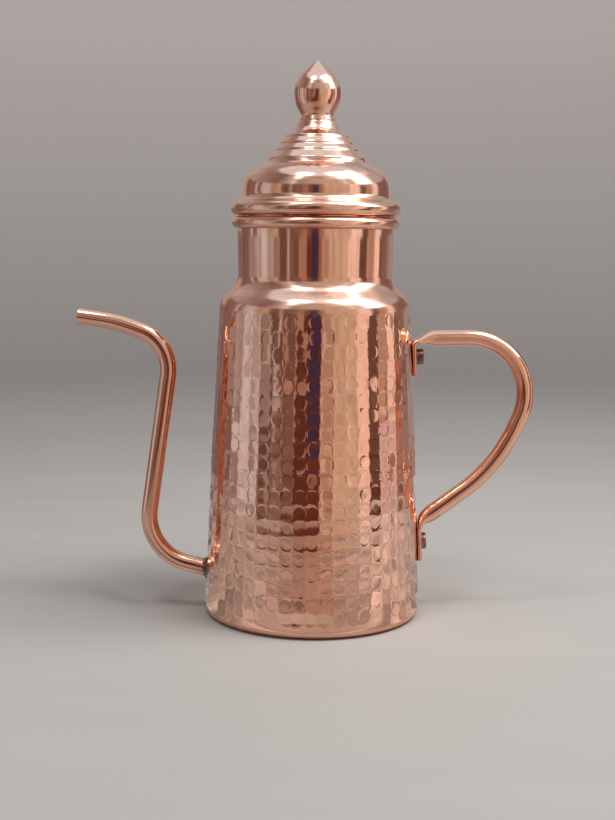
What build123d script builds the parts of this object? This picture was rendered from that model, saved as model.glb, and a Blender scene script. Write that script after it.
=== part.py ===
from build123d import *
import math
import os

# A hammered copper oil pourer: a tapered vessel with a bent spout and a bent handle,
# closed by a ribbed lid that lifts off. All sizes are millimetres, z is measured up from
# the surface that the vessel stands on, and the spout points to -x.

# Vessel
vessel_sheet = 0.9            # thickness of the copper sheet
base_radius = 52.05           # where the line of the wall meets the base plane
belly_radius = 48.75
belly_height = 80.0           # the wall is very slightly fuller here
belly_bend = 2400.0
shoulder_radius = 44.95       # corner between wall and shoulder, before rounding
shoulder_height = 151.2
shoulder_bend = 10.0
throat_radius = 36.3          # corner between shoulder and neck, before rounding
throat_height = 158.9
throat_bend = 9.0
neck_radius = 36.75
neck_flare_height = 174.0
neck_flare_bend = 250.0
foot_bend = 3.8
foot_flange_radius = 42.0     # inner edge of the flange turned in under the base

# Wired rims: the sheet is curled round a ring of wire
rim_centre_radius = 36.75
neck_rim_height = 187.2
neck_rim_wire = 1.9           # radius of the wire
neck_rim_set = 1.4            # radius of the bend that sets the rim inwards
neck_rim_wrap = 318.0         # degrees of wire that the sheet covers
lid_sheet = 0.8
lid_rim_height = 193.7
lid_rim_radius = 3.3          # outside of the curl
lid_rim_set = 4.0
lid_rim_wrap = 222.0
wire_slack = 0.02             # the wires are this much thinner than their curls

# Base disc, lapped over the foot flange with its middle dropped flush with the foot
base_disc_radius = 48.3
base_drop_inner = 40.0
base_drop_outer = 41.4
base_drop_bend = 1.2

# Spout tube: corner points of the bends in the x-z plane, and the bend radii
tube_diameter = 8.0
spout_bore = 6.4
spout_root = (-48.5, 19.46)
spout_corners = [(-81.86, 27.47), (-67.66, 130.2), (-95.3, 140.04)]
spout_bends = [24.0, 19.6, 70.0]
spout_tip = (-112.52, 142.3)
solder_run = 2.3              # how far the solder creeps along the tube
solder_spread = 1.7           # and out over the wall
solder_toe = 0.15             # thickness of its edge on the tube
solder_heel = 0.35            # and of its edge on the wall
solder_sink = 4.0             # how far its profile is carried into the wall before trimming

# Handle tube: pressed flat at both ends, folded down and riveted to the wall
handle_bore = 6.0
flat_width = 11.6
flat_thickness = 2.1
handle_corners = [(53.0, 133.45), (115.4, 135.0), (88.8, 72.0)]
handle_bends = [24.0, 27.3, 78.0]
upper_fold_bend = 2.6
lower_fold_bend = 8.0
upper_rivet_height = 124.4
lower_rivet_height = 34.8
upper_tab = (-8.6, 7.0)       # end of the tab and its fold, along the wall from the rivet
lower_tab = (-8.8, 9.1)
upper_flat_run = 17.0         # length of tube that is pressed fully flat, from each end
lower_flat_run = 16.5
pinch_run = 9.5               # length over which round turns to flat
pinch_steps = 5
seat_gap = 0.02

# Rivets, driven from outside and peened over a burr inside
shank_radius = 1.8
shank_clearance = 0.05
upper_head = (3.8, 3.6)       # radius and height of the head
lower_head = (4.1, 2.3)
head_edge = 0.5
tail_radius = 3.2
tail_height = 1.3
burr_radius = 4.4
burr_thickness = 0.9

# Lid: outline points of the ribbed cone, from the crown down
crown_height = 234.3
crown_radius = 8.9
crown_bend = 0.9
flare_radius = 10.7
flare_height = 229.95
flare_bend = 8.0
rib_fronts = [14.95, 17.05, 19.5, 22.9]       # radius of each rib's crest
rib_tops = [227.4, 224.2, 221.1, 217.0]
rib_feet = [226.4, 223.2, 220.1, 216.0]
rib_lean = 0.25                               # a rib's foot stands this much further out than its crest
rib_crest_bend = 1.3
rib_foot_bend = 1.0
dome_start = (23.75, 214.65)
dome_start_bend = 0.6
dome_radius = 34.6
dome_corner_height = 209.8
dome_bend = 11.8

# Plug sleeve that locates the lid in the neck
sleeve_top_radius = 33.78
sleeve_bottom_radius = 33.45
sleeve_top = 202.0
sleeve_bottom = 177.0
sleeve_sheet = 0.8

# Finial
finial_foot_radius = 8.5
finial_throat_radius = 7.6
finial_throat_height = 236.8
ball_start_height = 238.7
ball_radius = 11.05
ball_height = 247.1
ball_lower_bend = 13.8
ball_upper_bend = 12.0
ball_upper_angle = 48.0
finial_tip_bend = 1.2

# Stud, washer and nut that hold the finial
stud_radius = 1.5
stud_clearance = 0.1
stud_depth = 9.0              # how far the stud goes into the finial
stud_bottom = 228.6
washer_radius = 4.5
washer_thickness = 0.8
nut_across_flats = 5.5
nut_thickness = 2.4
nut_edge = (0.4, 0.25)        # how far its corners are turned back, along and across


# A face drawn as (radius, height) turned round the vessel's axis
def spun(profile):
    return revolve(Plane.XZ * profile, Axis.Z)


# Point at a distance to the left of a drawn line or arc
def left_of(edge, share, distance):
    along = edge.tangent_at(share)
    return edge.position_at(share) + Vector(-along.Y, along.X) * distance


# The cut face of a bent sheet: the line of one side, drawn with no sharp corners, and the
# distance to the other side, to the left of the line, or to its right when negative
def sheet_profile(outline, thickness):
    near_side = Wire(outline.edges()).order_edges()
    far_side = []
    for edge in near_side:
        start, middle, end = (left_of(edge, share, thickness) for share in (0, 0.5, 1))
        straight = edge.geom_type == GeomType.LINE
        far_side.append(Line(start, end) if straight else ThreePointArc(start, middle, end))
    first_cut = Line(near_side[0] @ 0, far_side[0] @ 0)
    last_cut = Line(near_side[-1] @ 1, far_side[-1] @ 1)
    return make_face([*near_side, *far_side, first_cut, last_cut])


# Angle of the S-bend that leads a sheet from a straight wall onto a curl
def set_angle(reach, bend, curl):
    return math.degrees(math.acos(reach / (bend + curl)))


def wall_radius(z):
    if z < belly_height:
        return base_radius + (belly_radius - base_radius) * z / belly_height
    rise = (z - belly_height) / (shoulder_height - belly_height)
    return belly_radius + (shoulder_radius - belly_radius) * rise


# Plane on the wall facing the handle: local y runs up the wall and local z points out
def wall_plane(z):
    slope = wall_radius(z) - wall_radius(z + 1)
    return Plane((wall_radius(z), 0, z), x_dir=(0, 1, 0), z_dir=(1, 0, slope))


def on_wall(z, up, out):
    return wall_plane(z).from_local_coords((0, up, out))


# Outer side of the vessel's sheet, from the foot flange to the end of the rim curl
def vessel_outline():
    angle = set_angle(rim_centre_radius - neck_radius + neck_rim_set, neck_rim_set, neck_rim_wire)
    set_height = neck_rim_height - (neck_rim_set + neck_rim_wire) * math.sin(math.radians(angle))
    wall = FilletPolyline(
        (foot_flange_radius, 0),
        (base_radius, 0),
        (belly_radius, belly_height),
        (shoulder_radius, shoulder_height),
        (throat_radius, throat_height),
        (neck_radius, neck_flare_height),
        (neck_radius, set_height),
        radius=[foot_bend, belly_bend, shoulder_bend, throat_bend, neck_flare_bend],
    )
    set_in = JernArc(wall @ 1, wall % 1, neck_rim_set, angle)
    curl = JernArc(set_in @ 1, set_in % 1, neck_rim_wire, -neck_rim_wrap)
    return wall + set_in + curl


def make_vessel_shell():
    shell = spun(sheet_profile(vessel_outline(), vessel_sheet))
    shell -= spout_cylinder(tube_diameter / 2, -20, 20)
    for height in (upper_rivet_height, lower_rivet_height):
        drill = Cylinder(shank_radius + shank_clearance, 20)
        shell -= wall_plane(height) * drill
    return shell


def make_base_disc():
    underside = FilletPolyline(
        (0, 0),
        (base_drop_inner, 0),
        (base_drop_outer, vessel_sheet),
        (base_disc_radius, vessel_sheet),
        radius=base_drop_bend,
    )
    return spun(sheet_profile(underside, vessel_sheet))


def make_rim_wire(height, radius):
    return spun(Pos(rim_centre_radius, height) * Circle(radius - wire_slack))


# Everything inside the vessel's outer side below the neck, for trimming what meets the wall
def vessel_envelope():
    wall = FilletPolyline(
        (0, 0),
        (base_radius, 0),
        (belly_radius, belly_height),
        (shoulder_radius, shoulder_height),
        (0, shoulder_height),
        radius=[foot_bend, belly_bend, shoulder_bend],
    )
    return spun(make_face(wall + Line((0, shoulder_height), (0, 0))))


def spout_path():
    points = [spout_root] + spout_corners + [spout_tip]
    return FilletPolyline([(x, 0, z) for x, z in points], radius=spout_bends)


# Plane at the inner end of the spout, with local z along the tube and out of the vessel
def spout_root_plane():
    path = spout_path()
    return Plane(path @ 0, x_dir=(0, 1, 0), z_dir=path % 0)


def spout_cylinder(radius, start, end):
    rod = Cylinder(radius, end - start, align=(Align.CENTER, Align.CENTER, Align.MIN))
    return spout_root_plane() * Pos(0, 0, start) * rod


def make_spout_tube():
    section = Circle(tube_diameter / 2) - Circle(spout_bore / 2)
    return sweep(spout_root_plane() * section, spout_path())


# A hollow-cheeked ring of solder between the tube and the wall
def make_spout_solder():
    inner = tube_diameter / 2
    outer = inner + solder_spread
    wall_distance = (wall_radius(spout_root[1]) + spout_root[0]) / abs((spout_path() % 0).X)
    top = wall_distance + solder_run
    bottom = wall_distance - solder_sink
    toe = (inner + solder_toe, top)
    heel = (outer, wall_distance + solder_heel)
    hollow = (inner + solder_toe + solder_spread * 0.28, wall_distance + solder_heel + solder_run * 0.25)
    cheek = ThreePointArc(toe, hollow, heel)
    body = Polyline(heel, (outer, bottom), (inner, bottom), (inner, top), toe)
    ring = revolve(Plane.XZ * make_face(cheek + body), Axis.Z)
    placed = spout_root_plane() * ring
    return placed - vessel_envelope()


def handle_path():
    points = [
        on_wall(upper_rivet_height, upper_tab[0], flat_thickness / 2 + seat_gap),
        on_wall(upper_rivet_height, upper_tab[1], flat_thickness / 2 + seat_gap),
        *[Vector(x, 0, z) for x, z in handle_corners],
        on_wall(lower_rivet_height, lower_tab[1], flat_thickness / 2 + seat_gap),
        on_wall(lower_rivet_height, lower_tab[0], flat_thickness / 2 + seat_gap),
    ]
    return FilletPolyline(points, radius=[upper_fold_bend, *handle_bends, lower_fold_bend])


# Cross-section of a tube that is pressed from round (0) to flat (1)
def pressed_section(press, diameter, width, thickness):
    def between(round_value, flat_value):
        return round_value + press * (flat_value - round_value)

    corner = diameter / 2 * math.sqrt(0.5)
    x = between(corner, (width - thickness) / 2)
    y = between(corner, thickness / 2)
    half_width = between(diameter, width) / 2
    half_thickness = between(diameter, thickness) / 2
    if press < 1:
        top = ThreePointArc((-x, y), (0, half_thickness), (x, y))
        bottom = ThreePointArc((x, -y), (0, -half_thickness), (-x, -y))
    else:
        top = Line((-x, y), (x, y))
        bottom = Line((x, -y), (-x, -y))
    right = ThreePointArc((x, y), (half_width, 0), (x, -y))
    left = ThreePointArc((-x, -y), (-half_width, 0), (-x, y))
    return make_face([top, right, bottom, left])


# Plane square to the path at a distance along it
def path_plane(path, distance):
    origin = path.position_at(distance, position_mode=PositionMode.LENGTH)
    along = path.tangent_at(distance, position_mode=PositionMode.LENGTH)
    return Plane(origin, x_dir=(0, 1, 0), z_dir=along)


# The stretch of tube between flat and round, from the flat end at one distance along the path
def pinch(path, flat_at, round_at, diameter, width, thickness, first_step):
    sections = []
    for step in range(first_step, pinch_steps + 1):
        share = step / pinch_steps
        press = (1 - share) ** 2
        distance = flat_at + share * (round_at - flat_at)
        sections.append(path_plane(path, distance) * pressed_section(press, diameter, width, thickness))
    return loft(sections)


def path_stretch(path, start, end):
    first = path.position_at(start, position_mode=PositionMode.LENGTH)
    last = path.position_at(end, position_mode=PositionMode.LENGTH)
    return Wire(path.edges()).trim(first, last)


def make_handle_tube():
    path = handle_path()
    length = path.length
    upper_round = upper_flat_run + pinch_run
    lower_flat = length - lower_flat_run
    lower_round = lower_flat - pinch_run
    outer = (tube_diameter, flat_width, flat_thickness)
    wall = (tube_diameter - handle_bore) / 2
    inner = (handle_bore, flat_width - 2 * wall, flat_thickness - 2 * wall)
    flat = pressed_section(1, *outer)
    grip_path = path_stretch(path, upper_round, lower_round)
    grip_plane = path_plane(path, upper_round)
    tube = sweep(grip_plane * pressed_section(0, *outer), grip_path)
    tube += sweep(path_plane(path, 0) * flat, path_stretch(path, 0, upper_flat_run))
    tube += sweep(path_plane(path, lower_flat) * flat, path_stretch(path, lower_flat, length))
    tube += pinch(path, upper_flat_run, upper_round, *outer, 0)
    tube += pinch(path, lower_flat, lower_round, *outer, 0)
    tube -= sweep(grip_plane * pressed_section(0, *inner), grip_path)
    tube -= pinch(path, upper_flat_run, upper_round, *inner, 1)
    tube -= pinch(path, lower_flat, lower_round, *inner, 1)
    for height in (upper_rivet_height, lower_rivet_height):
        tube -= wall_plane(height) * Cylinder(shank_radius + shank_clearance, 12)
    return tube


# Distance from the wall plane in to a flat ring pressed against the hollow inner wall
def burr_seat(height):
    inner_radius = wall_radius(height) - vessel_sheet
    stand_off = inner_radius - math.sqrt(inner_radius**2 - burr_radius**2)
    return vessel_sheet + stand_off + seat_gap


def make_rivet(height, head):
    head_radius, head_height = head
    seat = flat_thickness + 2 * seat_gap
    burr_top = burr_seat(height)
    tail_top = -(burr_top + burr_thickness + seat_gap)
    outline = FilletPolyline(
        (0, seat + head_height),
        (head_radius, seat + head_height),
        (head_radius, seat),
        radius=head_edge,
    )
    outline += Polyline(
        (head_radius, seat),
        (shank_radius, seat),
        (shank_radius, tail_top),
        (tail_radius, tail_top),
    )
    tail_end = (0, tail_top - tail_height)
    outline += TangentArc(tail_end, (tail_radius, tail_top), tangent=(1, 0))
    outline += Line(tail_end, (0, seat + head_height))
    return wall_plane(height) * revolve(Plane.XZ * make_face(outline), Axis.Z)


def make_rivet_burr(height):
    ring = Circle(burr_radius) - Circle(shank_radius + shank_clearance)
    depth = burr_seat(height) + burr_thickness
    return wall_plane(height) * Pos(0, 0, -depth) * extrude(ring, burr_thickness)


# Outer side of the lid's sheet, from the hole in the crown to the end of the rim curl
def lid_outline():
    angle = set_angle(dome_radius + lid_rim_set - rim_centre_radius, lid_rim_set, lid_rim_radius)
    set_height = lid_rim_height + (lid_rim_set + lid_rim_radius) * math.sin(math.radians(angle))
    points = [
        (stud_radius + stud_clearance, crown_height),
        (crown_radius, crown_height),
        (flare_radius, flare_height),
    ]
    bends = [crown_bend, flare_bend]
    for front, top, foot in zip(rib_fronts, rib_tops, rib_feet):
        points += [(front, top), (front + rib_lean, foot)]
        bends += [rib_crest_bend, rib_foot_bend]
    points += [dome_start, (dome_radius, dome_corner_height), (dome_radius, set_height)]
    bends += [dome_start_bend, dome_bend]
    dome = FilletPolyline(points, radius=bends)
    set_out = JernArc(dome @ 1, dome % 1, lid_rim_set, angle)
    curl = JernArc(set_out @ 1, set_out % 1, lid_rim_radius, -lid_rim_wrap)
    return dome + set_out + curl


def make_lid_dome():
    return spun(sheet_profile(lid_outline(), -lid_sheet))


def make_lid_sleeve():
    outer_side = Line((sleeve_bottom_radius, sleeve_bottom), (sleeve_top_radius, sleeve_top))
    return spun(sheet_profile(outer_side, sleeve_sheet))


def make_finial():
    foot = FilletPolyline(
        (0, crown_height),
        (finial_foot_radius, crown_height),
        (finial_throat_radius, finial_throat_height),
        (finial_throat_radius + 0.9, ball_start_height),
        radius=[0.3, 1.5],
    )
    belly = RadiusArc(foot @ 1, (ball_radius, ball_height), ball_lower_bend)
    cap = JernArc((ball_radius, ball_height), (0, 1), ball_upper_bend, ball_upper_angle)
    tip_start_radius = finial_tip_bend * math.sin(math.radians(90 - ball_upper_angle))
    run = ((cap @ 1).X - tip_start_radius) / -(cap % 1).X
    point = Line(cap @ 1, (cap @ 1) + (cap % 1) * run)
    tip = JernArc(point @ 1, point % 1, finial_tip_bend, 90 - ball_upper_angle)
    axis = Line(tip @ 1, (0, crown_height))
    body = spun(make_face(foot + belly + cap + point + tip + axis))
    socket = Cylinder(stud_radius, stud_depth, align=(Align.CENTER, Align.CENTER, Align.MIN))
    return body - Pos(0, 0, crown_height) * socket


def make_finial_stud():
    length = crown_height + stud_depth - stud_bottom
    stud = Cylinder(stud_radius, length, align=(Align.CENTER, Align.CENTER, Align.MIN))
    ends = stud.edges().filter_by(GeomType.CIRCLE)
    return Pos(0, 0, stud_bottom) * chamfer(ends, 0.4)


def make_finial_washer():
    ring = Circle(washer_radius) - Circle(stud_radius + stud_clearance)
    top = crown_height - lid_sheet
    return Pos(0, 0, top - washer_thickness) * extrude(ring, washer_thickness)


def make_finial_nut():
    hexagon = RegularPolygon(nut_across_flats / 2, 6, major_radius=False) - Circle(stud_radius)
    top = crown_height - lid_sheet - washer_thickness
    nut = Pos(0, 0, top - nut_thickness) * extrude(hexagon, nut_thickness)
    corner_radius = nut_across_flats / math.sqrt(3)
    turned = Pos(0, 0, top - nut_thickness / 2) * Cylinder(corner_radius, nut_thickness)
    return nut & chamfer(turned.edges().filter_by(GeomType.CIRCLE), *nut_edge)


def write_parts():
    parts = {
        "vessel_shell": make_vessel_shell(),
        "base_disc": make_base_disc(),
        "neck_rim_wire": make_rim_wire(neck_rim_height, neck_rim_wire),
        "spout_tube": make_spout_tube(),
        "spout_solder": make_spout_solder(),
        "handle_tube": make_handle_tube(),
        "handle_rivet_upper": make_rivet(upper_rivet_height, upper_head),
        "handle_rivet_lower": make_rivet(lower_rivet_height, lower_head),
        "rivet_burr_upper": make_rivet_burr(upper_rivet_height),
        "rivet_burr_lower": make_rivet_burr(lower_rivet_height),
        "lid_dome": make_lid_dome(),
        "lid_rim_wire": make_rim_wire(lid_rim_height, lid_rim_radius - lid_sheet),
        "lid_sleeve": make_lid_sleeve(),
        "finial": make_finial(),
        "finial_stud": make_finial_stud(),
        "finial_washer": make_finial_washer(),
        "finial_nut": make_finial_nut(),
    }
    os.makedirs("parts", exist_ok=True)
    for name, part in parts.items():
        export_step(part, f"parts/{name}.step")


write_parts()
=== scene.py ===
import bpy
import math
import random
import numpy as np
from mathutils import Matrix, Vector


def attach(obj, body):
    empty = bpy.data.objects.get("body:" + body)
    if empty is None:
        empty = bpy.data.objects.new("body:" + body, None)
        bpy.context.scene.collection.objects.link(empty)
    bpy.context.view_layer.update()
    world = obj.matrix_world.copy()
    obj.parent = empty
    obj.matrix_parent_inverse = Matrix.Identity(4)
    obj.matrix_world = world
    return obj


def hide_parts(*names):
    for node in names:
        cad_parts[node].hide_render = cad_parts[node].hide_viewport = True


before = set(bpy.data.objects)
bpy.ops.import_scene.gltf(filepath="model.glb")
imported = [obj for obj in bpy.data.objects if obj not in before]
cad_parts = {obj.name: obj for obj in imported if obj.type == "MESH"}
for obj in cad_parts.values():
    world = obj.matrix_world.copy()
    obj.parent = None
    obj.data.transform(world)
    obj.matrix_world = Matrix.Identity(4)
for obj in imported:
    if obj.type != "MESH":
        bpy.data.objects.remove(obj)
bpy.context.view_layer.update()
mm = 0.001  # sizes are in millimetres where no note says metres


# Work on any piece

def pick(piece):
    bpy.ops.object.select_all(action="DESELECT")
    piece.select_set(True)
    bpy.context.view_layer.objects.active = piece


# Opens a mesh for editing with all of it selected, or nothing
def startEdit(action="SELECT"):
    bpy.ops.object.mode_set(mode="EDIT")
    bpy.ops.mesh.select_all(action=action)


# Turns every face outwards and leaves the mesh
def endEdit():
    bpy.ops.mesh.select_all(action="SELECT")
    bpy.ops.mesh.normals_make_consistent(inside=False)
    bpy.ops.object.mode_set(mode="OBJECT")


def mergeDoubles():
    bpy.ops.mesh.select_all(action="SELECT")
    bpy.ops.mesh.remove_doubles(threshold=0.002 * mm)


# Adds a primitive with everything else deselected, and makes its place part of its mesh
def addPrimitive(name, operator, **options):
    bpy.ops.object.select_all(action="DESELECT")
    operator(**options)
    piece = bpy.context.object
    piece.name = name
    piece.data.name = name
    bpy.ops.object.transform_apply(location=True, rotation=True, scale=True)
    return piece


def addCircle(name, radius, sides, **options):
    return addPrimitive(name, bpy.ops.mesh.primitive_circle_add, radius=radius * mm, vertices=sides, **options)


def smooth(piece, angle):
    pick(piece)
    bpy.ops.object.shade_smooth_by_angle(angle=math.radians(angle))


def readPoints(piece):
    flat = np.empty(len(piece.data.vertices) * 3)
    piece.data.vertices.foreach_get("co", flat)
    return flat.reshape(-1, 3) / mm


def writePoints(piece, points):
    piece.data.vertices.foreach_set("co", (points * mm).ravel())
    piece.data.update()


# Keeps a value on each point for a material to read
def writeValues(piece, name, values):
    attribute = piece.data.attributes.new(name, "FLOAT", "POINT")
    attribute.data.foreach_set("value", np.clip(values, 0, 1))


# Darkening around the joints, full out to 0.6 of a stain's reach and gone at 1.6 of it
def stain(piece, stains):
    points = readPoints(piece)
    values = np.zeros(len(points))
    for middle, reach, strength in stains:
        away = np.linalg.norm(points - np.array(middle), axis=1) / reach
        values = np.maximum(values, strength * np.clip(1.6 - away, 0, 1) ** 2)
    writeValues(piece, "residue", values)


# Bands of height where a piece is buffed to a satin, with soft edges
def buff(piece, bands):
    height = readPoints(piece)[:, 2]
    values = np.zeros(len(height))
    for low, high, edge in bands:
        values = np.maximum(values, np.minimum(height - low, high - height) / edge)
    writeValues(piece, "satin", values)


# Hands a finished piece to the frame
def handOver(piece, body, nodes, material, sharpAngle=35.0):
    smooth(piece, sharpAngle)
    piece.data.materials.clear()
    piece.data.materials.append(material)
    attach(piece, body)
    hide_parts(*nodes)


# Pens, which draw by extrude and spin in the plane of the spout and handle

def makePen(piece, x, z, heading, perStep, spacing):
    return {
        "piece": piece,
        "x": x,
        "z": z,
        "heading": heading,
        "perStep": perStep,  # degrees of bend for each spin step
        "spacing": spacing,  # longest step of a straight, or None for one step
        "moves": [],
        "rings": [(x, z, heading)],
    }


# A pen with one point at (x, z)
def startPoint(name, x, z, perStep=8.0, spacing=None):
    piece = addPrimitive(name, bpy.ops.mesh.primitive_plane_add, size=mm, location=(x * mm, 0, z * mm))
    startEdit()
    bpy.ops.mesh.merge(type="CENTER")
    return makePen(piece, x, z, 0.0, perStep, spacing)


# A pen with a ring of points square to its heading
def startRing(name, x, z, heading, radius, sides, perStep, spacing):
    square = (0, math.radians(90 - heading), 0)
    piece = addCircle(name, radius, sides, location=(x * mm, 0, z * mm), rotation=square)
    startEdit()
    return makePen(piece, x, z, heading, perStep, spacing)


def stepsFor(pen, length, angle=0.0):
    steps = math.ceil(abs(angle) / pen["perStep"])
    if pen["spacing"]:
        steps = max(steps, math.ceil(length / pen["spacing"] - 0.01))
    return max(steps, 1)


# Heading from one place to another, in degrees
def headingTo(x, z, fromX, fromZ):
    return math.degrees(math.atan2(z - fromZ, x - fromX))


# A turn in degrees, from -180 to 180
def shortTurn(turn):
    return (turn + 180) % 360 - 180


def goStraight(pen, length):
    if length < 1e-4:
        return
    steps = stepsFor(pen, length)
    heading = math.radians(pen["heading"])
    stepX, stepZ = math.cos(heading) * length / steps, math.sin(heading) * length / steps
    for step in range(steps):
        bpy.ops.mesh.extrude_region_move(TRANSFORM_OT_translate={"value": (stepX * mm, 0, stepZ * mm)})
        pen["x"] += stepX
        pen["z"] += stepZ
        pen["rings"].append((pen["x"], pen["z"], pen["heading"]))
    pen["moves"].append((length, 0.0))


# Bends to the left for a positive angle in degrees, and to the right for a negative one
def goRound(pen, radius, angle):
    steps = stepsFor(pen, radius * abs(math.radians(angle)), angle)
    side = math.copysign(1, angle)
    first = math.radians(pen["heading"])
    centreX = pen["x"] - side * radius * math.sin(first)
    centreZ = pen["z"] + side * radius * math.cos(first)
    bpy.ops.mesh.spin(
        steps=steps,
        angle=math.radians(abs(angle)),
        center=(centreX * mm, 0, centreZ * mm),
        axis=(0, side, 0),
        use_auto_merge=False,
    )
    for step in range(1, steps + 1):
        heading = pen["heading"] + angle * step / steps
        pen["x"] = centreX + side * radius * math.sin(math.radians(heading))
        pen["z"] = centreZ - side * radius * math.cos(math.radians(heading))
        pen["rings"].append((pen["x"], pen["z"], heading))
    pen["heading"] += angle
    pen["moves"].append((radius, angle))


# Goes through corner points (x, z, bend radius), and keeps a corner with no bend as a kink
def goThrough(pen, corners):
    for number, (x, z, bend) in enumerate(corners):
        heading = headingTo(x, z, pen["x"], pen["z"])
        kink = shortTurn(heading - pen["heading"])
        if pen["moves"] and abs(kink) > 0.001:
            pen["moves"].append((0.0, kink))
        pen["heading"] = heading
        length = math.hypot(x - pen["x"], z - pen["z"])
        if bend:
            turn = shortTurn(headingTo(*corners[number + 1][:2], x, z) - heading)
            length -= bend * math.tan(math.radians(abs(turn)) / 2)
        goStraight(pen, length)
        if bend:
            goRound(pen, bend, turn)


# Goes straight to (x, z) in an exact number of steps
def goSteps(pen, x, z, steps):
    pen["spacing"] = math.hypot(x - pen["x"], z - pen["z"]) / steps
    goThrough(pen, [(x, z, 0)])
    pen["spacing"] = None


# Goes back along the other side of a sheet, which lies to the left for a positive thickness
def goBack(pen, thickness, perStep):
    moves = list(pen["moves"])
    side = math.copysign(1, thickness)
    pen["perStep"] = perStep
    pen["heading"] += 90 * side
    goStraight(pen, abs(thickness))
    pen["heading"] += 90 * side
    for size, angle in reversed(moves):
        if angle and size:
            goRound(pen, size - thickness * math.copysign(1, angle), -angle)
        elif angle:
            pen["heading"] -= angle
        else:
            goStraight(pen, size)
    pen["heading"] += 90 * side
    goStraight(pen, abs(thickness))


# Turns the drawn outline round the vessel's axis
def turnOutline(pen, segments):
    mergeDoubles()
    bpy.ops.mesh.spin(steps=segments, angle=2 * math.pi, center=(0, 0, 0), axis=(0, 0, 1), use_auto_merge=True)
    mergeDoubles()
    endEdit()
    return pen["piece"]


# Angle of the S-bend that leads a straight wall onto a curl
def leadAngle(reach, bend, curl):
    return math.degrees(math.acos(reach / (bend + curl)))


# Camera

cameraSettings = {
    "place": (-3.05, -623.2, 181.1),
    "lens": 57.5,
    "pitchDown": 7.57,
    "roll": 0.62,
}


def addToScene(name, data):
    thing = bpy.data.objects.new(name, data)
    bpy.context.scene.collection.objects.link(thing)
    return thing


def addCamera():
    settings = cameraSettings
    data = bpy.data.cameras.new("camera")
    data.lens = settings["lens"]
    camera = addToScene("camera", data)
    tilt = Matrix.Rotation(math.radians(90 - settings["pitchDown"]), 4, "X")
    lean = Matrix.Rotation(math.radians(settings["roll"]), 4, "Z")
    camera.matrix_world = Matrix.Translation(Vector(settings["place"]) * mm) @ tilt @ lean
    bpy.context.scene.camera = camera


addCamera()
bpy.context.scene.view_settings.view_transform = "Standard"
print("camera placed")


# Nodes

# Sets sockets of a node, by name or number: a socket is linked and anything else is a value
def feed(tree, node, inputs):
    for name, value in inputs.items():
        if isinstance(value, bpy.types.NodeSocket):
            tree.links.new(value, node.inputs[name])
        else:
            node.inputs[name].default_value = value
    return node


def addNode(tree, kind, inputs=None, **options):
    node = tree.nodes.new("ShaderNode" + kind)
    for name, value in options.items():
        setattr(node, name, value)
    return feed(tree, node, inputs or {})


def calculate(tree, operation, *values):
    return addNode(tree, "Math", dict(enumerate(values)), operation=operation).outputs[0]


# A share of one value added to another
def addShare(tree, value, share, other):
    return calculate(tree, "MULTIPLY_ADD", value, share, other)


# Maps a value from one range to another, and holds it at the ends
def remap(tree, value, fromLow, fromHigh, toLow=0.0, toHigh=1.0):
    inputs = {"Value": value, 1: fromLow, 2: fromHigh, 3: toLow, 4: toHigh}
    return addNode(tree, "MapRange", inputs).outputs[0]


def mixColours(tree, share, first, second):
    return addNode(tree, "Mix", {"Factor": share, 6: first, 7: second}, data_type="RGBA").outputs[2]


def noise(tree, vector, scale, detail=3.0, roughness=0.5):
    inputs = {"Vector": vector, "Scale": scale, "Detail": detail, "Roughness": roughness}
    return addNode(tree, "TexNoise", inputs).outputs["Fac"]


# Noise drawn out along some directions and squeezed along others, by scale
def stretchedNoise(tree, vector, rotation, stretch, *levels):
    inputs = {"Vector": vector, "Rotation": rotation, "Scale": stretch}
    return noise(tree, addNode(tree, "Mapping", inputs).outputs[0], *levels)


def lengthOf(tree, vector):
    return addNode(tree, "VectorMath", {0: vector}, operation="LENGTH").outputs["Value"]


def heightOf(tree, vector):
    return addNode(tree, "SeparateXYZ", {0: vector}).outputs["Z"]


# A new node group with named inputs and outputs. An input with no value takes a vector
def startGroup(name, inputs, *outputs):
    tree = bpy.data.node_groups.new(name, "ShaderNodeTree")
    for label, value in inputs.items():
        kind = "NodeSocketVector" if value is None else "NodeSocketFloat"
        socket = tree.interface.new_socket(label, in_out="INPUT", socket_type=kind)
        if value is not None:
            socket.default_value = value
    for label in outputs:
        tree.interface.new_socket(label, in_out="OUTPUT", socket_type="NodeSocketFloat")
    return tree, tree.nodes.new("NodeGroupInput").outputs, tree.nodes.new("NodeGroupOutput")


def placeGroup(tree, group, inputs):
    node = tree.nodes.new("ShaderNodeGroup")
    node.node_tree = group
    return feed(tree, node, inputs).outputs


# Finishes shared by several metals

# Fine lines that turning leaves round the axis, as a height from 0 to 1
def makeTurningLines():
    inputs = {"Position": None, "Lines per metre": 3000.0, "Waver": 0.0006}
    tree, given, result = startGroup("turning lines", inputs, "Height")
    position = given["Position"]
    across = addNode(tree, "VectorMath", {0: position, 1: (1, 1, 0)}, operation="MULTIPLY").outputs[0]
    drift = calculate(tree, "MULTIPLY", noise(tree, position, 18.0, 1.0), given["Waver"])
    x = calculate(tree, "ADD", lengthOf(tree, across), drift)
    y = calculate(tree, "MULTIPLY", drift, 0.4)
    z = calculate(tree, "SUBTRACT", heightOf(tree, position), drift)
    lines = addNode(tree, "CombineXYZ", {"X": x, "Y": y, "Z": z}).outputs[0]
    feed(tree, result, {"Height": noise(tree, lines, given["Lines per metre"], 2.0, 0.6)})
    return tree


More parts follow.
